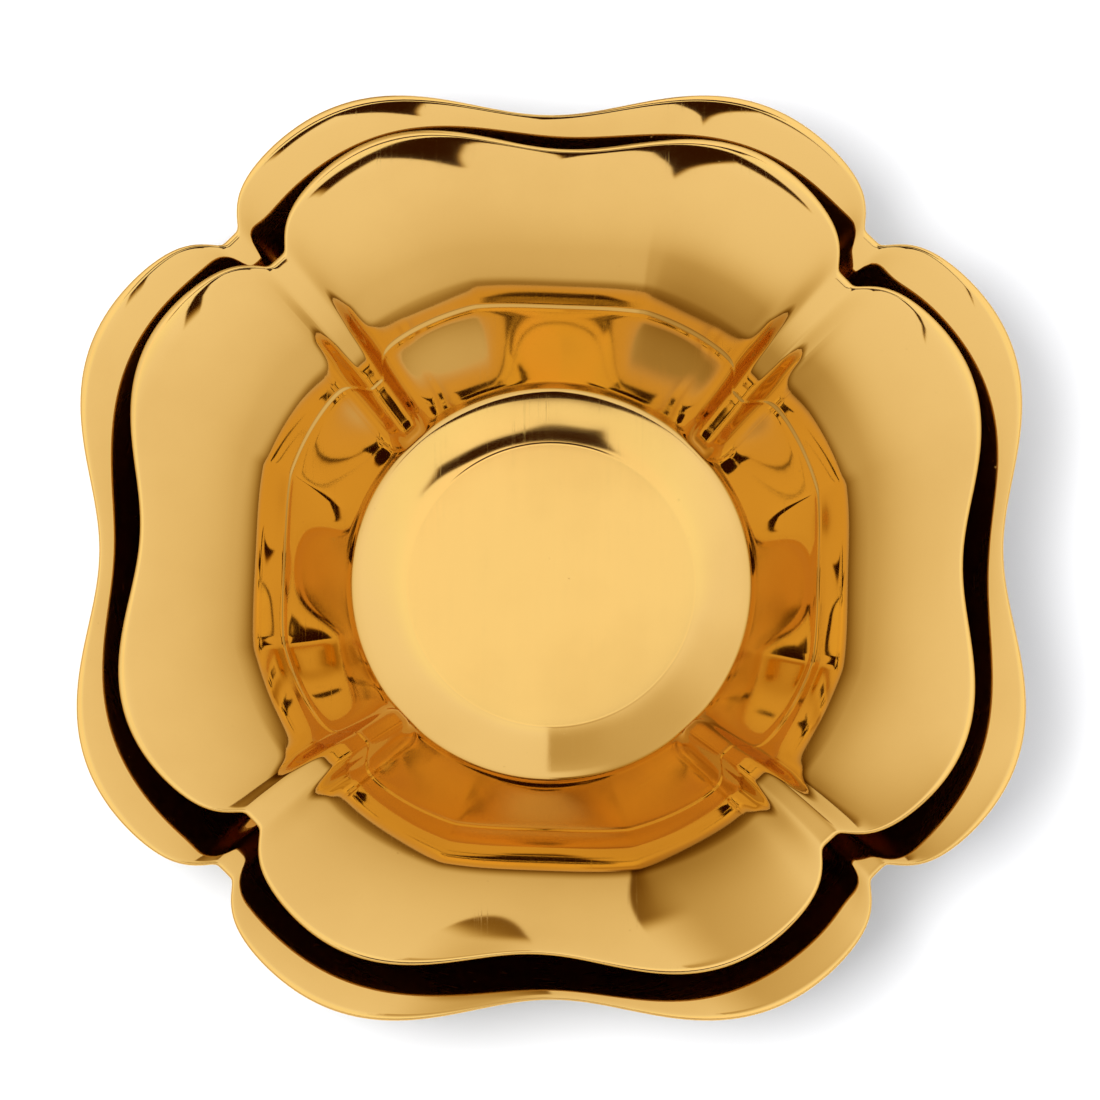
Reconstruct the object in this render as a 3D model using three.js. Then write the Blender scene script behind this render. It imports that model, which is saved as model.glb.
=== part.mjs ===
// Nested brass urli: a large four-petal bowl on its foot ring, and a smaller bowl of the same
// pattern that stands loose inside it on a foot ring of its own. Each bowl is one sheet of
// brass, pressed to shape, and each foot ring is a brass strip bent round and soldered on.
//
// Millimetres, +Z up. The origin is the centre of the large bowl's foot ring, on the table.
// +X and +Y run along the middles of two petals, and the flutes lie on the diagonals.
import * as THREE from "three";

const SHEET = 1.0; // thickness of the brass sheet
const SOLDER_GAP = 0.3; // room for solder between a bowl and its foot ring
const REST_GAP = 0.3; // the small bowl's foot ring over the large bowl's floor
const PETALS = 4;

// The small bowl. Radii are the mean of a wavy outline, heights are over the floor's level, and
// slopes are in degrees from level where a stretch of the section starts and ends.
const SMALL = {
  edge: { radius: 140.2, height: 56.4, slope: -4 }, // trimmed edge
  lip: { radius: 138.2, height: 56.5, slope: 2 }, // top of the lip
  brim: { radius: 132.0, height: 55.9, slope: 13 }, // lip has rolled over into the flange
  shoulder: { radius: 104.5, height: 43.0, slope: 38 }, // end of the flange's gentle part
  throat: { radius: 95.0, height: 34.6, slope: 47 }, // steepening into the well
  crease: { radius: 87.9, height: 26.4, slope: 50.5 }, // crease around the well's mouth
  wall: { radius: 87.5, height: 25.9, slope: 53 }, // top of the well's wall
  foot: { radius: 68.0, height: 3.1, slope: 47.5 }, // wall meets the floor's fillet
  floor: { radius: 63.6, height: 0.4, slope: 4 }, // outer edge of the dished floor
  annulus: { radius: 51.5, height: 0.1, slope: 0.5 }, // inner edge of the dished floor
  step: { radius: 49.0, height: -0.1, slope: 9 }, // short step down to the disc
  disc: { radius: 44.5, height: -0.5, slope: 1 }, // edge of the sunken disc
  middle: { radius: 25.0, height: -0.45, slope: -1.2 }, // flat middle of the disc
  petalSwing: 5.3, // outline's swing once a petal
  lobeSwing: 4.6, // outline's swing twice a petal, which makes its two lobes
  throatDip: 2.4, // how much further the middle of a petal dips in at the crease
  fluteDepth: { floor: 5.5, rim: 12.5 }, // how far the flute between two petals cuts in
};

// The large bowl has the small one's section at about 1.1 times the size, with a wider petal.
const LARGE = {
  edge: { radius: 156.3, height: 61.7, slope: -4 },
  lip: { radius: 154.6, height: 61.8, slope: 2 },
  brim: { radius: 151.4, height: 61.3, slope: 20 },
  shoulder: { radius: 115.0, height: 43.0, slope: 38 },
  throat: { radius: 104.5, height: 33.4, slope: 47 },
  crease: { radius: 96.7, height: 24.4, slope: 51 },
  wall: { radius: 96.3, height: 23.9, slope: 50 },
  foot: { radius: 74.0, height: 2.8, slope: 40 },
  floor: { radius: 69.7, height: 0.4, slope: 4 },
  annulus: { radius: 57.0, height: 0.1, slope: 0.5 },
  step: { radius: 54.5, height: -0.1, slope: 9 },
  disc: { radius: 50.0, height: -0.5, slope: 1 },
  middle: { radius: 28.0, height: -0.45, slope: -1.2 },
  petalSwing: 7.7,
  lobeSwing: 5.1,
  throatDip: 2.6,
  fluteDepth: { floor: 6.0, rim: 13.5 },
};

// Foot rings: outer radius and strip thickness. Their heights follow from what they carry.
const LARGE_FOOT = { radius: 62, strip: 2.0, height: 8.7 };
const SMALL_FOOT = { radius: 57.5, strip: 2.0 };
const FLOOR_RISE = 0.2; // a dished floor over its own level, at the radius of its foot ring
const LIP_RISE = 7.3; // the small bowl's lip over the large one's, as they stand nested
const SMALL_BOWL_TURN = THREE.MathUtils.degToRad(-2); // the loose bowl lies a little askew

// How the outline changes from the rim to the round floor.
const WAVE_FADE = 1.5; // power of the way out from the floor
const THROAT_CORNER = THREE.MathUtils.degToRad(18); // half the width of a petal's throat dip
const THROAT_EVEN = 0.4; // share of the dip given back around it, so that the mean radius stays
const THROAT_ENDS_AT = 0.85; // share of the way out where the throat dip has faded
const FLUTE_FULL_AT = 0.12; // share of the way out where a flute's rounded toe ends
const FLUTE_HALF_WIDTH = { floor: 5.2, rim: 7.5 };
const FLUTE_SHARPNESS = { floor: 4, rim: 2 }; // higher is more like a round bar laid in

// Fineness of the faceted surface.
const COLUMNS_PER_HALF_PETAL = 8;
const COLUMN_CROWDING = 1.7; // above 1, columns crowd towards the flutes
// Rows of facets in each stretch of the section, from the edge inwards.
const STRETCHES = [
  ["edge", "lip", 1],
  ["lip", "brim", 2],
  ["brim", "shoulder", 4],
  ["shoulder", "throat", 2],
  ["throat", "crease", 1],
  ["crease", "wall", 1],
  ["wall", "foot", 3],
  ["foot", "floor", 2],
  ["floor", "annulus", 1],
  ["annulus", "step", 1],
  ["step", "disc", 1],
  ["disc", "middle", 1],
];

const smooth = (x) => THREE.MathUtils.smoothstep(x, 0, 1);

// A value that goes from its floor end to its rim end.
const between = (ends, share) => THREE.MathUtils.lerp(ends.floor, ends.rim, share);

// How far out a level line lies: 0 at the floor's edge, 1 at the rim's.
function wayOut(bowl, radius) {
  return (radius - bowl.floor.radius) / (bowl.edge.radius - bowl.floor.radius);
}

// The petal's and its two lobes' waves, which fade towards the round floor.
function waves(bowl, out, phi) {
  const once = -bowl.petalSwing * Math.cos(PETALS * phi);
  const twice = -bowl.lobeSwing * Math.cos(2 * PETALS * phi);
  return (once + twice) * out ** WAVE_FADE;
}

// The dip in the middle of a petal, which is deepest at the crease and has a corner each side.
function throat(bowl, out, offPetal) {
  const crease = wayOut(bowl, bowl.crease.radius);
  const below = smooth(out / crease);
  const above = smooth((THROAT_ENDS_AT - out) / (THROAT_ENDS_AT - crease));
  const dip = Math.cos((Math.min(Math.abs(offPetal) / THROAT_CORNER, 1) * Math.PI) / 2);
  return bowl.throatDip * below * above * (THROAT_EVEN - dip);
}

// The flute between two petals, a rounded groove that starts in a rounded toe by the floor.
function flute(bowl, out, arc) {
  const halfWidth = between(FLUTE_HALF_WIDTH, out ** 2);
  const sharpness = between(FLUTE_SHARPNESS, out ** 2);
  const shape = 1 / (1 + (Math.abs(arc) / halfWidth) ** sharpness);
  return -between(bowl.fluteDepth, out) * smooth(out / FLUTE_FULL_AT) * shape;
}

// The radius at angle phi of the level line whose mean radius is given.
function outline(bowl, radius, phi) {
  const out = wayOut(bowl, radius);
  if (out <= 0) return radius;
  const pitch = (2 * Math.PI) / PETALS;
  const offPetal = THREE.MathUtils.euclideanModulo(phi + pitch / 2, pitch) - pitch / 2;
  const offFlute = THREE.MathUtils.euclideanModulo(phi, pitch) - pitch / 2;
  return (
    radius +
    waves(bowl, out, phi) +
    throat(bowl, out, offPetal) +
    flute(bowl, out, offFlute * radius)
  );
}

// One stretch of the section, from a ring to the next one inwards, leaving and arriving at the
// slopes of the two rings. Between slopes that differ it bends evenly, as a parabola does.
function stretch(from, to) {
  const [start, end] = [from, to].map(({ radius, height }) => new THREE.Vector2(radius, height));
  const [steepStart, steepEnd] = [from, to].map((ring) => Math.tan(THREE.MathUtils.degToRad(ring.slope)));
  const run = start.x - end.x;
  const drop = start.y - end.y;
  const corner = (drop - steepEnd * run) / (steepStart - steepEnd);
  if (steepStart === steepEnd || corner < 0 || corner > run) return new THREE.LineCurve(start, end);
  const bend = new THREE.Vector2(start.x - corner, start.y - corner * steepStart);
  return new THREE.QuadraticBezierCurve(start, bend, end);
}

// The bowl's section from the edge to the flat middle.
function section(bowl) {
  const points = STRETCHES.map(([from, to, rows]) => stretch(bowl[from], bowl[to]).getPoints(rows));
  return [...points.flatMap((row) => row.slice(0, -1)), points.at(-1).at(-1)];
}

// The angles of the columns of facets, crowded towards the flutes.
function columnAngles() {
  const half = Math.PI / PETALS;
  const steps = Array.from({ length: COLUMNS_PER_HALF_PETAL }, (_, i) => i / COLUMNS_PER_HALF_PETAL);
  const fromFlute = steps.map((t) => half * t ** COLUMN_CROWDING);
  const toFlute = steps.map((t) => half * (2 - (1 - t) ** COLUMN_CROWDING));
  const petal = [...fromFlute, ...toFlute];
  const flutes = Array.from({ length: PETALS }, (_, k) => half * (2 * k + 1));
  return flutes.flatMap((flute) => petal.map((angle) => flute + angle));
}

// The upper side of the sheet on a grid, rows from the rim inwards.
function upperSide(bowl, points, angles) {
  return points.map(({ x: radius, y: height }) =>
    angles.map((phi) => {
      const r = outline(bowl, radius, phi);
      return new THREE.Vector3(r * Math.cos(phi), r * Math.sin(phi), height);
    }),
  );
}

// The under side: the upper side moved down its own normals by the sheet's thickness.
function underSide(grid) {
  const columns = grid[0].length;
  return grid.map((row, i) =>
    row.map((point, j) => {
      const outer = grid[Math.max(i - 1, 0)][j];
      const inner = grid[Math.min(i + 1, grid.length - 1)][j];
      const along = row[(j + 1) % columns].clone().sub(row[(j + columns - 1) % columns]);
      const normal = outer.clone().sub(inner).cross(along).normalize();
      return point.clone().addScaledVector(normal, -SHEET);
    }),
  );
}

// One closed mesh of both sides, the rim's edge and the two middles.
function bowlGeometry(bowl) {
  const angles = columnAngles();
  const points = section(bowl);
  const upper = upperSide(bowl, points, angles);
  const under = underSide(upper);
  const rows = upper.length;
  const columns = angles.length;
  const middle = new THREE.Vector3(0, 0, bowl.middle.height);
  const vertices = [...upper.flat(), ...under.flat(), middle, middle.clone().setZ(middle.z - SHEET)];
  const at = (side, i, j) => side * rows * columns + i * columns + (j % columns);
  const centre = (side) => 2 * rows * columns + side;
  const faces = [];
  const quad = (a, b, c, d) => faces.push(a, b, c, a, c, d);
  for (let j = 0; j < columns; j++) {
    for (let i = 0; i + 1 < rows; i++) {
      quad(at(0, i, j), at(0, i, j + 1), at(0, i + 1, j + 1), at(0, i + 1, j));
      quad(at(1, i, j), at(1, i + 1, j), at(1, i + 1, j + 1), at(1, i, j + 1));
    }
    quad(at(0, 0, j), at(1, 0, j), at(1, 0, j + 1), at(0, 0, j + 1));
    faces.push(at(0, rows - 1, j), at(0, rows - 1, j + 1), centre(0));
    faces.push(at(1, rows - 1, j + 1), at(1, rows - 1, j), centre(1));
  }
  const geometry = new THREE.BufferGeometry().setFromPoints(vertices).setIndex(faces);
  geometry.computeVertexNormals();
  return geometry;
}

// A strip bent into a ring, standing on height 0.
function ringGeometry({ radius, strip, height }) {
  const corners = [
    [radius - strip, 0],
    [radius, 0],
    [radius, height],
    [radius - strip, height],
    [radius - strip, 0],
  ].map(([r, z]) => new THREE.Vector2(r, z));
  return new THREE.LatheGeometry(corners, 64).rotateX(Math.PI / 2);
}

function piece(name, geometry, height) {
  const brass = new THREE.MeshStandardMaterial({ color: 0xe3b45c, roughness: 0.08, metalness: 1 });
  const mesh = new THREE.Mesh(geometry, brass);
  mesh.name = name;
  mesh.position.z = height;
  return mesh;
}

const largeFloor = LARGE_FOOT.height + SOLDER_GAP + SHEET - FLOOR_RISE;
const smallFloor = largeFloor + LARGE.lip.height + LIP_RISE - SMALL.lip.height;
const smallFootBottom = largeFloor + LARGE.annulus.height + REST_GAP;
const smallFoot = {
  ...SMALL_FOOT,
  height: smallFloor + FLOOR_RISE - SHEET - SOLDER_GAP - smallFootBottom,
};

const smallBowl = new THREE.Group();
smallBowl.rotation.z = SMALL_BOWL_TURN;
smallBowl.add(piece("inner_bowl", bowlGeometry(SMALL), smallFloor));
smallBowl.add(piece("inner_foot_ring", ringGeometry(smallFoot), smallFootBottom));

const urli = new THREE.Group();
urli.add(piece("outer_bowl", bowlGeometry(LARGE), largeFloor));
urli.add(piece("outer_foot_ring", ringGeometry(LARGE_FOOT), 0));
urli.add(smallBowl);

export default urli;
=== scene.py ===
"""Looks of the nested brass urli: two pressed four-petal bowls, one standing loose in the other.

The bowls' fine surfaces are made here, in millimetres, from a section and an outline much like the
CAD model's. The small bowl's floor is slightly dished. The foot rings stand where the CAD nodes do.
"""

import math

import bpy
import numpy as np
from mathutils import Matrix, Vector


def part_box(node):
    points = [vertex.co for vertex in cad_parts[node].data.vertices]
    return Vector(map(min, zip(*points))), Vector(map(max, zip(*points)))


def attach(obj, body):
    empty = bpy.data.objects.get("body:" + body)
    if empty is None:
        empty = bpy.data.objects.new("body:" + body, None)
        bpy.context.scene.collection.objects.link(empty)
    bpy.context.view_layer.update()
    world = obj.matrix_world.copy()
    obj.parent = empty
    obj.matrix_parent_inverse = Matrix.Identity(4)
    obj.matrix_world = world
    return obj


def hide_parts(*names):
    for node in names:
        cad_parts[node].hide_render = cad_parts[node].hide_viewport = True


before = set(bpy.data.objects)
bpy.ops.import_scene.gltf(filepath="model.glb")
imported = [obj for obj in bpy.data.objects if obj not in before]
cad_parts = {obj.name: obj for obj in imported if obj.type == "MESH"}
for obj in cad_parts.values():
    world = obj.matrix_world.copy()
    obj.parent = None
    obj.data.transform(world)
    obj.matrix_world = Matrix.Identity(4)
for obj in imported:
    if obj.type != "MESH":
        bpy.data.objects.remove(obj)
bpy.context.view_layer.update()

MM = 0.001

# The bowls, in millimetres. A ring of the section has a mean radius, a height over the floor and a
# slope in degrees. Pairs are for the floor's rim and for the bowl's edge.
SHEET = 1.0
PETALS = 4
SMALL = {
    "edge": (140.2, 56.5, 6),
    "lip": (138.0, 56.2, 11),
    "brim": (132.0, 54.85, 15),
    "shoulder": (104.5, 42.6, 38),
    "throat": (95.0, 34.3, 47),
    "ledge": (88.7, 27.1, 50.5),
    "crease": (87.9, 26.6, 18),
    "wall": (87.3, 25.7, 57),
    "foot": (67.2, 3.6, 47.5),
    "heel": (65.0, 0.6, 60),
    "floor": (63.6, 0.0, 8),
    "annulus": (52.0, -1.46, 6.4),
    "step": (49.0, -1.75, 4.6),
    "disc": (45.0, -1.97, 1.5),
    "middle": (25.0, -2.25, 0.4),
    "petal_swing": 5.3,
    "lobe_swing": 4.6,
    "throat_dip": 2.9,
    "flute_depth": (5.5, 12.5),
}
LARGE = {
    "edge": (156.3, 61.8, 11),
    "lip": (153.8, 61.28, 13),
    "brim": (150.5, 60.4, 17),
    "shoulder": (115.0, 43.0, 38),
    "throat": (104.5, 33.4, 47),
    "ledge": (97.5, 25.3, 50),
    "crease": (96.7, 24.8, 18),
    "wall": (96.1, 23.9, 56),
    "foot": (73.6, 4.0, 40),
    "heel": (71.0, 0.8, 60),
    "floor": (69.7, 0.4, 4),
    "annulus": (57.0, 0.1, 0.5),
    "step": (54.5, -0.1, 9),
    "disc": (50.0, -0.5, 1),
    "middle": (28.0, -0.45, -1.2),
    "petal_swing": 7.7,
    "lobe_swing": 5.1,
    "throat_dip": 3.8,
    "flute_depth": (6.0, 13.5),
}
RINGS = tuple(name for name, ring in SMALL.items() if isinstance(ring, tuple) and len(ring) == 3)

# Heights of the floors over the table, and how far askew the small bowl stands.
LARGE_FLOOR = 9.8
SMALL_FLOOR = 22.4
INNER_TURN = math.radians(-2)

# How the outline departs from a circle. The way out is 0 at the floor's rim and 1 at the edge: the
# fades are powers of it, and the throat's end and the flutes' toe are places on it.
PETAL_FADE = 1.9
LOBE_FADE = 3.5
THROAT_CORNER = math.radians(18)
THROAT_END = 0.85
THROAT_SWELL = 0.4
FLUTE_TOE = 0.12
FLUTE_HALF_WIDTH = (5.2, 8.5)
FLUTE_SHARPNESS = (4.0, 2.0)
FLUTE_CREST = (1.5, 4.2)
CREST_ROUNDNESS = 8

# Roundness of the section's corners, dip at the very centre, and how much wider than its ring of
# the section the brushed disc is.
FILLET = 0.5
CENTRE_DIP = 0.05
DISC_MARGIN = 2.0

# Slight unevenness: waves round the bowl, millimetres for a radian of wave outwards, phase.
HANDWORK = ((3, 17.0, 0.4), (5, 23.0, 2.1), (7, 11.0, 4.0), (11, 14.0, 1.3), (13, 31.0, 5.2))
HANDWORK_HEIGHT = 0.012
HANDWORK_START = 20
HANDWORK_FADE = 40

# The foot rings. The small bowl's is lower at the top, by the sag of its dished floor.
LARGE_FOOT_RADIUS = 62.0
SMALL_FOOT_RADIUS = 57.5
FOOT_STRIP = 2.0
FOOT_CORNER = 0.5
SOLDER_BEAD = 1.1
SMALL_FLOOR_SAG = 1.1

# Fineness of the mesh.
COLUMNS_PER_HALF_PETAL = 60
COLUMN_CROWDING = 1.5
FOOT_COLUMNS = 256
STRETCH_POINTS = 200
SECTION_STEP = 0.1
INNERMOST_ROW = 1.0
LONGEST_ROW = 3.0
MOST_TURN_PER_ROW = 3.0

# Faces whose normals point further down than this are the under side.
DOWNWARD = -0.02

# The studio's sky. Its brightness rises with z, the sine of the elevation. Places overhead are east
# and north on a ceiling one unit up.
LOWEST_Z = 0.02
LIGHT_AT_HORIZON = 0.77
LIGHT_RISE = 0.4
SPOT_EAST, SPOT_NORTH = 0.02, 0.12
SPOT_REACH = 0.35
SPOT_LIGHT = 0.26
WEST_DIMNESS = 0.17
SOUTH_WEST_DIMNESS = 0.21
WIDE_SEAM_DIMNESS = 0.3
NARROW_SEAM_DIMNESS = 0.42
OPENING_DARKNESS = 0.97
LIGHT_BY_TABLE = 0.15

# Lamp, floor and camera, in metres, but for the lens and its sensor in millimetres.
KEY_WATTS = 22
KEY_COLOUR = (1.0, 0.98, 1.45)
KEY_WIDTH = 0.7
KEY_PLACE = (-0.42, -0.3, 1.7)
PAPER_COLOUR = (0.97, 0.99, 0.67)
FLOOR_REACH = 3.0
CAMERA_LENS = 262
CAMERA_SENSOR = 36
CAMERA_TILT = math.radians(12)
CAMERA_DISTANCE = 2.55
CAMERA_TARGET = (-0.0004, 0.0006, 0.0719)


# ---------------------------------------------------------------- section and outline


def stretch(start, end):
    """Points from one ring of the section inwards to the next, with their slopes at the ends."""
    (r0, z0, slope0), (r1, z1, slope1) = start, end
    steep0, steep1 = math.tan(math.radians(slope0)), math.tan(math.radians(slope1))
    run, drop = r0 - r1, z0 - z1
    corner = (drop - steep1 * run) / (steep0 - steep1) if steep0 != steep1 else -1
    if not 0 < corner < run:
        corner, steep0 = run / 2, drop / run
    first, last = np.array([r0, z0]), np.array([r1, z1])
    bend = np.array([r0 - corner, z0 - corner * steep0])
    t = np.linspace(0, 1, STRETCH_POINTS, endpoint=False)[:, None]
    return (1 - t) ** 2 * first + 2 * t * (1 - t) * bend + t**2 * last


def evenly(points, step):
    """The same polyline with points a step apart."""
    along = np.concatenate([[0], np.cumsum(np.linalg.norm(np.diff(points, axis=0), axis=1))])
    marks = np.linspace(0, along[-1], int(along[-1] / step) + 1)
    return np.column_stack([np.interp(marks, along, points[:, k]) for k in range(2)])


def softened(points, step, radius):
    """The polyline with its corners rounded."""
    reach = int(3 * radius / step)
    weights = np.exp(-0.5 * (np.arange(-reach, reach + 1) * step / radius) ** 2)
    weights /= weights.sum()
    before = 2 * points[0] - points[reach:0:-1]
    after = 2 * points[-1] - points[-2 : -reach - 2 : -1]
    padded = np.vstack([before, points, after])
    return np.column_stack([np.convolve(padded[:, k], weights, "valid") for k in range(2)])


def section(bowl):
    """Rows of the bowl from its edge to its middle, closer together where it bends."""
    rings = [bowl[name] for name in RINGS]
    points = np.vstack([stretch(a, b) for a, b in zip(rings, rings[1:])])
    radius, height, _ = bowl["middle"]
    points = np.vstack([points, (radius, height), (INNERMOST_ROW, height - CENTRE_DIP)])
    points = softened(evenly(points, SECTION_STEP), SECTION_STEP, FILLET)
    heading = np.degrees(np.unwrap(np.arctan2(*np.gradient(points, axis=0).T[::-1])))
    bends = np.abs(np.gradient(heading))
    cost = np.cumsum(SECTION_STEP / LONGEST_ROW + bends / MOST_TURN_PER_ROW)
    marks = np.linspace(cost[0], cost[-1], int(cost[-1] - cost[0]) + 2)
    return np.column_stack([np.interp(marks, cost, points[:, k]) for k in range(2)])


def smooth(x):
    """Rises smoothly from 0 at 0 to 1 at 1."""
    x = np.clip(x, 0, 1)
    return x * x * (3 - 2 * x)


def blend(ends, share):
    """The first of two numbers turned into the second by a share of 0 to 1."""
    return ends[0] + (ends[1] - ends[0]) * share


def outline(bowl, radius, phi):
    """Radius at each angle phi of the level lines whose mean radii are given."""
    floor_radius, edge_radius = bowl["floor"][0], bowl["edge"][0]
    out = np.clip((radius - floor_radius) / (edge_radius - floor_radius), 0, None)
    petals = -bowl["petal_swing"] * np.cos(PETALS * phi) * out**PETAL_FADE
    lobes = -bowl["lobe_swing"] * np.cos(2 * PETALS * phi) * out**LOBE_FADE
    pitch = 2 * math.pi / PETALS
    off_petal = np.abs(np.mod(phi + pitch / 2, pitch) - pitch / 2)
    dip = np.cos(np.clip(off_petal / THROAT_CORNER, 0, 1) * math.pi / 2)
    crease = (bowl["crease"][0] - floor_radius) / (edge_radius - floor_radius)
    near_crease = smooth(out / crease) * smooth((THROAT_END - out) / (THROAT_END - crease))
    throat = bowl["throat_dip"] * near_crease * (THROAT_SWELL - dip)
    off_flute = np.abs(np.mod(phi, pitch) - pitch / 2) * radius
    share = np.clip(out, 0, 1)
    half_width = blend(FLUTE_HALF_WIDTH, share**2)
    crest = blend(FLUTE_CREST, share) / half_width
    sharpness = blend(FLUTE_SHARPNESS, share**2)
    power = CREST_ROUNDNESS
    off_crest = ((off_flute / half_width) ** power + crest**power) ** (1 / power)
    flute = (1 + crest**sharpness) / (1 + off_crest**sharpness)
    depth = blend(bowl["flute_depth"], share) * smooth(out / FLUTE_TOE)
    return radius + petals + lobes + throat - depth * flute


def column_angles():
    """Angles of the mesh's columns, crowded together at the flutes."""
    half = math.pi / PETALS
    steps = np.arange(COLUMNS_PER_HALF_PETAL) / COLUMNS_PER_HALF_PETAL
    first, second = steps**COLUMN_CROWDING, 2 - (1 - steps) ** COLUMN_CROWDING
    petal = np.concatenate([half * first, half * second])
    return np.concatenate([half * (2 * k + 1) + petal for k in range(PETALS)])


# ---------------------------------------------------------------- meshes


def handwork(radius, phi):
    """Slight unevenness that pressing and polishing by hand leave, as a height along the normal."""
    total = sum(np.sin(k * phi + shift + radius / length) for k, length, shift in HANDWORK)
    return HANDWORK_HEIGHT * total * smooth((radius - HANDWORK_START) / HANDWORK_FADE)


def normals(grid):
    """Upward normals of a grid of points whose rows run inwards and columns run round."""
    inwards = np.gradient(grid, axis=0)
    around = np.roll(grid, -1, axis=1) - np.roll(grid, 1, axis=1)
    normal = np.cross(around, inwards)
    normal *= np.sign(normal[..., 2:3])
    return normal / np.linalg.norm(normal, axis=2, keepdims=True)


def add_piece(name, points, faces):
    """A smooth-shaded piece from points in millimetres."""
    mesh = bpy.data.meshes.new(name)
    mesh.from_pydata((points * MM).tolist(), [], faces)
    mesh.validate()
    mesh.update()
    mesh.polygons.foreach_set("use_smooth", np.ones(len(mesh.polygons), dtype=bool))
    piece = bpy.data.objects.new(name, mesh)
    bpy.context.scene.collection.objects.link(piece)
    return piece


def bowl_mesh(name, bowl):
    """A closed sheet with the upper side, a rounded edge and the under side."""
    rows = section(bowl)
    phi = column_angles()
    radius = rows[:, :1]
    reach = outline(bowl, radius, phi)
    height = np.broadcast_to(rows[:, 1:], reach.shape)
    grid = np.stack([reach * np.cos(phi), reach * np.sin(phi), height], axis=2)
    normal = normals(grid)
    upper = grid + normal * handwork(radius, phi)[..., None]
    under = upper - SHEET * normal
    every = np.unique(np.append(np.arange(0, len(rows), 2), len(rows) - 1))
    along = upper[0] - upper[1]
    along /= np.linalg.norm(along, axis=1, keepdims=True)
    angles = np.radians([45, 90, 135])
    middle = (upper[0] + under[0]) / 2
    lip = [middle + SHEET / 2 * (math.cos(a) * normal[0] + math.sin(a) * along) for a in angles]
    rings = [*under[every][::-1], *lip[::-1], *upper]
    return grid_mesh(name, np.array(rings))


def grid_mesh(name, rings):
    """A closed mesh from rings of points, the first and the last closed over by a fan."""
    count, columns, _ = rings.shape
    ends = [rings[0].mean(axis=0), rings[-1].mean(axis=0)]
    points = np.vstack([rings.reshape(-1, 3), ends])
    index = np.arange(count * columns).reshape(count, columns)
    right = np.roll(index, -1, axis=1)
    quads = np.stack([index[:-1], right[:-1], right[1:], index[1:]], axis=2).reshape(-1, 4)
    first = [(count * columns, b, a) for a, b in zip(index[0], right[0])]
    last = [(count * columns + 1, a, b) for a, b in zip(index[-1], right[-1])]
    return add_piece(name, points, [*quads.tolist(), *first, *last])


def foot_ring_mesh(name, outer, height):
    """A strip bent into a ring, with rounded corners and a bead of solder at its top."""
    corner, bead = FOOT_CORNER, SOLDER_BEAD
    inner = outer - FOOT_STRIP
    quarter = [(math.cos(a), math.sin(a)) for a in np.radians(np.linspace(0, 90, 5))]
    points = [(inner + corner - corner * c, corner - corner * s) for c, s in quarter]
    points += [(outer - corner + corner * s, corner - corner * c) for c, s in quarter]
    points += [(outer + bead - bead * c, height - bead + bead * s) for c, s in quarter]
    points += [(inner - bead + bead * s, height - bead + bead * c) for c, s in quarter]
    phi = np.linspace(0, 2 * math.pi, FOOT_COLUMNS, endpoint=False)
    rings = np.array([[(r * math.cos(a), r * math.sin(a), z) for a in phi] for r, z in points])
    count, columns, _ = rings.shape
    index = np.arange(count * columns).reshape(count, columns)
    right = np.roll(index, -1, axis=1)
    above, above_right = np.roll(index, -1, axis=0), np.roll(right, -1, axis=0)
    quads = np.stack([index, right, above_right, above], axis=2).reshape(-1, 4)
    return add_piece(name, rings.reshape(-1, 3), quads.tolist())


# ---------------------------------------------------------------- shader sums


class Value:
    """A number in a node tree, so that shader sums read as sums."""

    def __init__(self, tree, socket):
        self.tree, self.socket = tree, socket

    def math(self, operation, *others):
        node = self.tree.nodes.new("ShaderNodeMath")
        node.operation = operation
        for slot, operand in zip(node.inputs, (self, *others)):
            if isinstance(operand, Value):
                self.tree.links.new(operand.socket, slot)
            else:
                slot.default_value = operand
        return Value(self.tree, node.outputs[0])

    def __add__(self, other):
        return self.math("ADD", other)

    def __sub__(self, other):
        return self.math("SUBTRACT", other)

    def __mul__(self, other):
        return self.math("MULTIPLY", other)

    def __truediv__(self, other):
        return self.math("DIVIDE", other)

    def ramp(self, start, end, low=0.0, high=1.0):
        """Rises smoothly from low at start to high at end."""
        node = self.tree.nodes.new("ShaderNodeMapRange")
        node.interpolation_type = "SMOOTHSTEP"
        names = ("From Min", "From Max", "To Min", "To Max")
        for name, number in zip(names, (start, end, low, high)):
            if isinstance(number, Value):
                self.tree.links.new(number.socket, node.inputs[name])
            else:
                node.inputs[name].default_value = number
        self.tree.links.new(self.socket, node.inputs["Value"])
        return Value(self.tree, node.outputs["Result"])

    def into(self, socket):
        self.tree.links.new(self.socket, socket)


# ---------------------------------------------------------------- materials


def tree_of(owner):
    """The node tree of a material or of the world."""
    owner.use_nodes = True
    return owner.node_tree


def surface_point(tree):
    """The point's coordinates on the piece, as a socket and as three numbers in metres."""
    where = tree.nodes.new("ShaderNodeTexCoord").outputs["Object"]
    split = tree.nodes.new("ShaderNodeSeparateXYZ")
    tree.links.new(where, split.inputs[0])
    return where, [Value(tree, output) for output in split.outputs]


def noise(tree, where, scale, detail=2.0, turn=0.0):
    """Cloudy variation about 0.5, with so many waves a metre along each axis."""
    mapping = tree.nodes.new("ShaderNodeMapping")
    mapping.inputs["Scale"].default_value = scale
    mapping.inputs["Rotation"].default_value = (0, 0, turn)
    texture = tree.nodes.new("ShaderNodeTexNoise")
    texture.inputs["Scale"].default_value = 1
    texture.inputs["Detail"].default_value = detail
    tree.links.new(where, mapping.inputs["Vector"])
    tree.links.new(mapping.outputs[0], texture.inputs["Vector"])
    return Value(tree, texture.outputs["Fac"])


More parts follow.
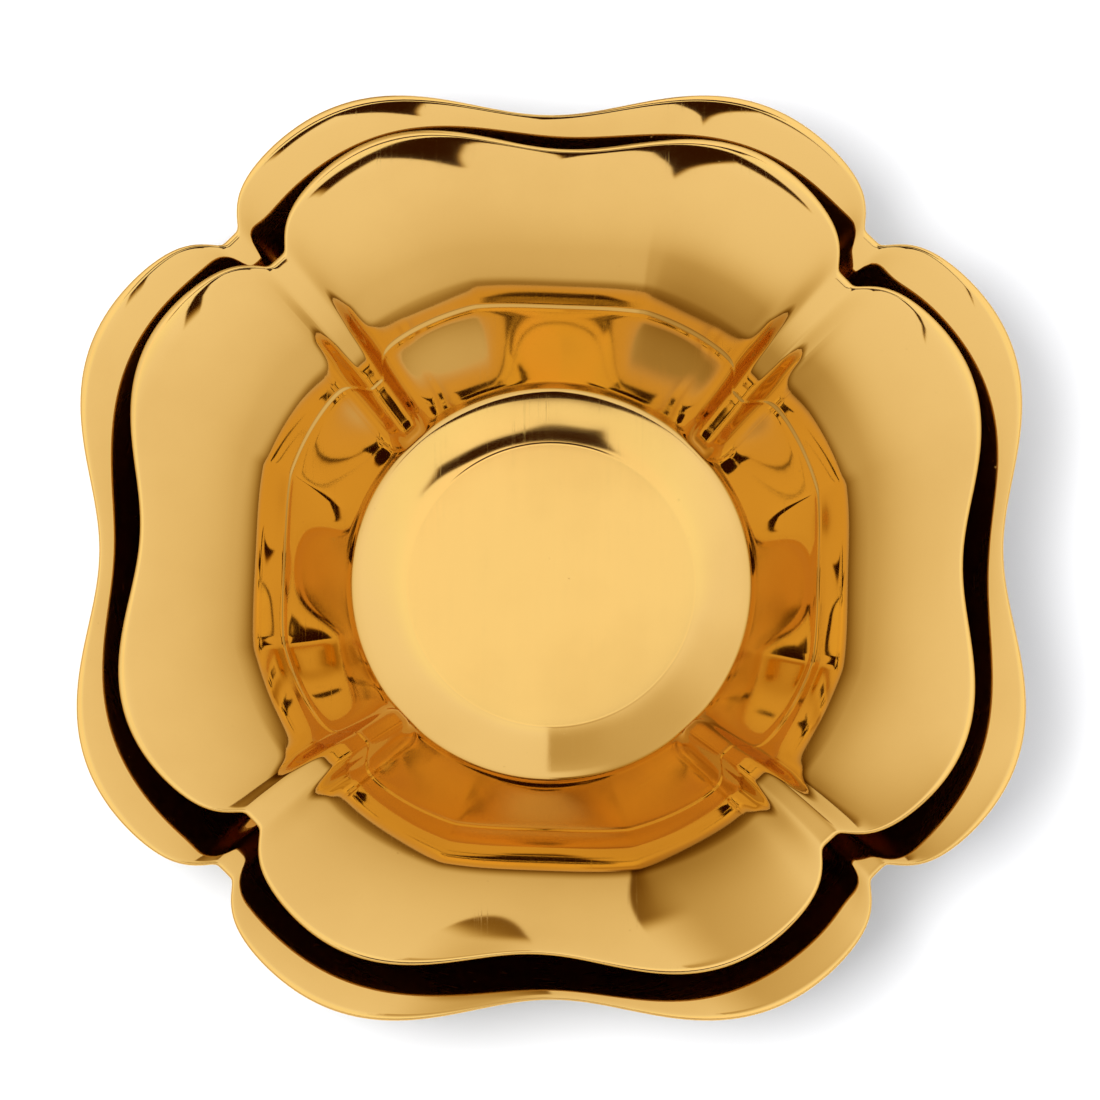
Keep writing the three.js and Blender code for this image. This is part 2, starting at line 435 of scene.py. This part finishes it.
def round_the_axis(tree, x, y, z):
    """Coordinates that run round the axis, outwards and up, for marks left by a turning wheel."""
    join = tree.nodes.new("ShaderNodeCombineXYZ")
    radius = (x * x + y * y).math("SQRT")
    y.math("ARCTAN2", x).into(join.inputs[0])
    radius.into(join.inputs[1])
    z.into(join.inputs[2])
    return join.outputs[0], radius


def scratches(tree, where, turn, length, width):
    """Sparse thin straight scratches, as heights of 0 to 1."""
    lines = noise(tree, where, (1 / width, 1 / length, 1 / length), 1, turn)
    patches = noise(tree, where, (60, 60, 60), 2, turn)
    return lines.ramp(0.66, 0.72) * patches.ramp(0.45, 0.6)


def raise_surface(tree, height, micrometres):
    """Tilts the shader's normal by a height, counted in units of so many micrometres."""
    bump = tree.nodes.new("ShaderNodeBump")
    bump.inputs["Distance"].default_value = micrometres * 1e-6
    height.into(bump.inputs["Height"])
    tree.links.new(bump.outputs[0], tree.nodes["Principled BSDF"].inputs["Normal"])


def brass(name, colour, dull_colour):
    """Brass whose colour goes to a duller one, by the number put into the last socket returned."""
    material = bpy.data.materials.new(name)
    tree = tree_of(material)
    shader = tree.nodes["Principled BSDF"]
    shader.inputs["Metallic"].default_value = 1
    mix = tree.nodes.new("ShaderNodeMix")
    mix.data_type = "RGBA"
    mix.inputs["A"].default_value = (*colour, 1)
    mix.inputs["B"].default_value = (*dull_colour, 1)
    tree.links.new(mix.outputs["Result"], shader.inputs["Base Color"])
    return material, tree, shader, mix.inputs["Factor"]


def polished_brass(disc_radius):
    """The upper side: buffed to a mirror, with the disc in the middle left finely brushed."""
    clean, dull = (0.74, 0.455, 0.088), (0.66, 0.39, 0.07)
    material, tree, shader, dullness = brass("polished_brass", clean, dull)
    where, axes = surface_point(tree)
    turned, radius = round_the_axis(tree, *axes)
    disc_edge, rim_width, rim_depth = 0.0005, 0.0006, -12.0
    on_disc = radius.ramp(disc_radius - disc_edge, disc_radius, 1.0, 0.0)
    smudges = noise(tree, where, (16, 16, 16), 5).ramp(0.42, 0.72)
    pores = noise(tree, where, (420, 420, 420), 1).ramp(0.80, 0.84)
    other_marks = scratches(tree, where, 2.2, 0.04, 0.0003)
    marks = scratches(tree, where, 0.5, 0.05, 0.0004).math("MAXIMUM", other_marks)
    brushing = noise(tree, where, (2600, 22, 22), 3)
    buffing = noise(tree, turned, (9, 900, 900), 2)
    waves = noise(tree, where, (55, 55, 55), 1)
    (smudges * 0.5 + pores * 0.5).into(dullness)
    roughness = smudges * 0.028 + marks * 0.05 + pores * 0.2 + 0.035
    roughness += on_disc * (brushing * 0.05 + 0.09)
    roughness.into(shader.inputs["Roughness"])
    rim_line = (radius - disc_radius).math("ABSOLUTE").ramp(0, rim_width, 1, 0)
    height = buffing * 0.06 + marks * -0.25 + pores * -0.8 + waves * 6.0
    height += rim_line * rim_depth + on_disc * brushing * 0.55
    raise_surface(tree, height, 1.0)
    return material


def satin_brass():
    """The under side: wheel-polished to a satin and a little tarnished where hands don't rub it."""
    clean, dull = (0.46, 0.28, 0.075), (0.24, 0.13, 0.04)
    material, tree, shader, dullness = brass("satin_brass", clean, dull)
    where, axes = surface_point(tree)
    turned, _ = round_the_axis(tree, *axes)
    tarnish = noise(tree, where, (22, 22, 22), 6).ramp(0.40, 0.70)
    spots = noise(tree, where, (260, 260, 260), 3).ramp(0.68, 0.74)
    rings = noise(tree, turned, (6, 1400, 1400), 3)
    (tarnish * 0.75 + spots * 0.25).into(dullness)
    (rings * 0.14 + tarnish * 0.10 + spots * 0.12 + 0.16).into(shader.inputs["Roughness"])
    raise_surface(tree, rings * 1.0 + spots * -1.5, 2.0)
    return material


def foot_brass(top):
    """The foot ring: a satin strip, a little stained, with grey solder at the top."""
    clean, dull = (0.60, 0.37, 0.10), (0.42, 0.38, 0.32)
    material, tree, shader, dullness = brass("foot_brass", clean, dull)
    where, (x, y, z) = surface_point(tree)
    turned, _ = round_the_axis(tree, x, y, z)
    ragged, soft = 0.0012, 0.0006
    level = z + noise(tree, where, (150, 150, 150), 3) * ragged
    solder = level.ramp(top - ragged, top - ragged + soft)
    drawn = noise(tree, turned, (5, 300, 2600), 3)
    stains = noise(tree, where, (45, 45, 45), 5).ramp(0.45, 0.70)
    (solder + stains * 0.3).into(dullness)
    (drawn * 0.12 + stains * 0.15 + solder * 0.2 + 0.18).into(shader.inputs["Roughness"])
    lumps = noise(tree, where, (500, 500, 500), 2)
    raise_surface(tree, drawn + solder * lumps * 12.0, 2.0)
    return material


# ---------------------------------------------------------------- studio


def western_dimness(x, y, z, v):
    """How much dimmer the tent's western half is, most of all along its northern border.

    Across is the angle from west round to north, in radians, and the seam is the border's bend.
    """
    across = y.math("ARCTAN2", x * -1.0)
    seam = (z * z * 0.11 - 0.047) * z.ramp(0.83, 0.88, 1, 0)
    west = (across - seam).ramp(1.562, 1.572, 1, 0) * across.ramp(-1.42, -1.41)
    south_west = across.ramp(-1.40, -1.05) * across.ramp(-0.55, 0.0, 1, 0)
    sides = (south_west * SOUTH_WEST_DIMNESS + WEST_DIMNESS) * z.ramp(0.25, 0.85, 1, 0)
    close = across.ramp(1.35, 1.6)
    wide = across.ramp(0.7, 1.4) * (close * z.ramp(0.64, 0.72, 0, -1) + 1.0)
    narrow = close * z.ramp(0.66, 0.74, 1, 0).math("MAXIMUM", z.ramp(0.88, 0.91))
    by_seam = wide * WIDE_SEAM_DIMNESS + narrow * NARROW_SEAM_DIMNESS
    return west * (sides + by_seam * v.ramp(0.2, 0.42, 0.12, 1))


def dark_opening(u, v):
    """The dark opening overhead that the bowls are seen through: a wedge, a strip and a bar."""
    down = (v + 0.36).math("MAXIMUM", 0.0)
    wedge = (u + down * down * 0.9 + 0.038).ramp(0, 0.02)
    wedge = wedge * (down * 0.58 - u - 0.036).ramp(0, 0.008) * v.ramp(-0.045, -0.035, 1, 0)
    aside = (u.math("ABSOLUTE") - 0.1).math("MAXIMUM", 0.0) * 0.12
    top = aside + (u - 0.15).math("MAXIMUM", 0.0) * 0.1
    low = aside + (u + 0.1).math("MINIMUM", 0.0) * -0.22
    strip = (v - low).ramp(-0.095, -0.085) * (v - top).ramp(-0.045, -0.035, 1, 0)
    strip = strip * (u + 0.01).math("ABSOLUTE").ramp(0.26, 0.32, 1, 0)
    bar = (v - u.math("MAXIMUM", 0.0) * 0.4).ramp(-0.003, 0.003) * v.ramp(0.085, 0.095, 1, 0)
    bar = bar * (u - 0.045).math("ABSOLUTE").ramp(0.10, 0.115, 1, 0)
    return wedge.math("MAXIMUM", strip).math("MAXIMUM", bar)


def studio_sky():
    """A bright tent with a few darker stretches, which is what the polished brass mirrors."""
    world = bpy.data.worlds.new("studio")
    bpy.context.scene.world = world
    tree = tree_of(world)
    where = tree.nodes.new("ShaderNodeTexCoord")
    split = tree.nodes.new("ShaderNodeSeparateXYZ")
    tree.links.new(where.outputs["Generated"], split.inputs[0])
    x, y, z = (Value(tree, output) for output in split.outputs)
    up = z.math("MAXIMUM", LOWEST_Z)
    u, v = x / up, y / up
    spot_u, spot_v = u - SPOT_EAST, v - SPOT_NORTH
    off_spot = (spot_u * spot_u + spot_v * spot_v).math("SQRT")
    light = z * LIGHT_RISE + LIGHT_AT_HORIZON + off_spot.ramp(0.0, SPOT_REACH, SPOT_LIGHT, 0.0)
    light = light * (western_dimness(x, y, z, v) * -1.0 + 1.0)
    light = light * (dark_opening(u, v) * -OPENING_DARKNESS + 1.0)
    light = light * z.ramp(0.02, 0.24, LIGHT_BY_TABLE, 1.0)

    # Dimmer light is warmer: green and blue fall off faster than red.
    tint = tree.nodes.new("ShaderNodeCombineColor")
    light.into(tint.inputs["Red"])
    (light.math("MINIMUM", 1.3).math("POWER", 1.35) * 0.976).into(tint.inputs["Green"])
    (light.math("MINIMUM", 1.2).math("POWER", 2.3) * 1.42).into(tint.inputs["Blue"])
    tree.links.new(tint.outputs[0], tree.nodes["Background"].inputs["Color"])


def key_light():
    """The lamp that casts the soft shadow. The brass doesn't mirror it."""
    lamp = bpy.data.lights.new("key", "AREA")
    lamp.energy = KEY_WATTS
    lamp.color = KEY_COLOUR
    lamp.size = KEY_WIDTH
    key = bpy.data.objects.new("key", lamp)
    key.location = KEY_PLACE
    key.rotation_euler = (-key.location).to_track_quat("-Z", "Y").to_euler()
    key.visible_glossy = False
    bpy.context.scene.collection.objects.link(key)


def floor():
    """A plain sheet of pale paper."""
    signs = ((-1, -1), (1, -1), (1, 1), (-1, 1))
    corners = [(FLOOR_REACH * east, FLOOR_REACH * north, 0) for east, north in signs]
    mesh = bpy.data.meshes.new("floor")
    mesh.from_pydata(corners, [], [(0, 1, 2, 3)])
    piece = bpy.data.objects.new("floor", mesh)
    bpy.context.scene.collection.objects.link(piece)
    paper = bpy.data.materials.new("paper")
    shader = tree_of(paper).nodes["Principled BSDF"]
    shader.inputs["Base Color"].default_value = (*PAPER_COLOUR, 1)
    shader.inputs["Roughness"].default_value = 0.9
    mesh.materials.append(paper)


def camera():
    """A long lens, looking down from nearly straight above."""
    data = bpy.data.cameras.new("camera")
    data.lens = CAMERA_LENS
    data.sensor_width = CAMERA_SENSOR
    data.clip_end = 10
    view = bpy.data.objects.new("camera", data)
    back = Vector((0, -math.sin(CAMERA_TILT), math.cos(CAMERA_TILT)))
    view.location = Vector(CAMERA_TARGET) + CAMERA_DISTANCE * back
    view.rotation_euler = (CAMERA_TILT, 0, 0)
    bpy.context.scene.collection.objects.link(view)
    bpy.context.scene.camera = view


# ---------------------------------------------------------------- the pieces


def show(piece, node, body, height, turn=0.0):
    """Sets a piece at its height and turn, and says what it stands for."""
    piece.data.transform(Matrix.Translation((0, 0, height)) @ Matrix.Rotation(turn, 4, "Z"))
    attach(piece, body)
    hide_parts(node)


def foot_ring(name, node, radius, sag=0.0):
    """A foot ring that stands where the CAD node stands, lower than it at the top by the sag."""
    low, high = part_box(node)
    height = high.z - low.z - sag * MM
    ring = foot_ring_mesh(name, radius, height / MM)
    ring.data.materials.append(foot_brass(low.z + height))
    return ring, low.z


large = bowl_mesh("large_bowl", LARGE)
small = bowl_mesh("small_bowl", SMALL)
for piece, bowl in ((large, LARGE), (small, SMALL)):
    piece.data.materials.append(polished_brass((bowl["disc"][0] + DISC_MARGIN) * MM))
    piece.data.materials.append(satin_brass())
    under = np.array([face.normal.z < DOWNWARD for face in piece.data.polygons], dtype=np.int32)
    piece.data.polygons.foreach_set("material_index", under)
large_foot, large_foot_height = foot_ring(
    "large_foot_ring", "outer_foot_ring", LARGE_FOOT_RADIUS
)
small_foot, small_foot_height = foot_ring(
    "small_foot_ring", "inner_foot_ring", SMALL_FOOT_RADIUS, SMALL_FLOOR_SAG
)
show(large, "outer_bowl", "outer", LARGE_FLOOR * MM)
show(small, "inner_bowl", "inner", SMALL_FLOOR * MM, INNER_TURN)
show(large_foot, "outer_foot_ring", "outer", large_foot_height)
show(small_foot, "inner_foot_ring", "inner", small_foot_height, INNER_TURN)

floor()
studio_sky()
key_light()
camera()
scene = bpy.context.scene
scene.view_settings.view_transform = "Standard"
scene.cycles.max_bounces = 24
scene.cycles.glossy_bounces = 14
scene.cycles.use_denoising = True
scene.cycles.caustics_reflective = False
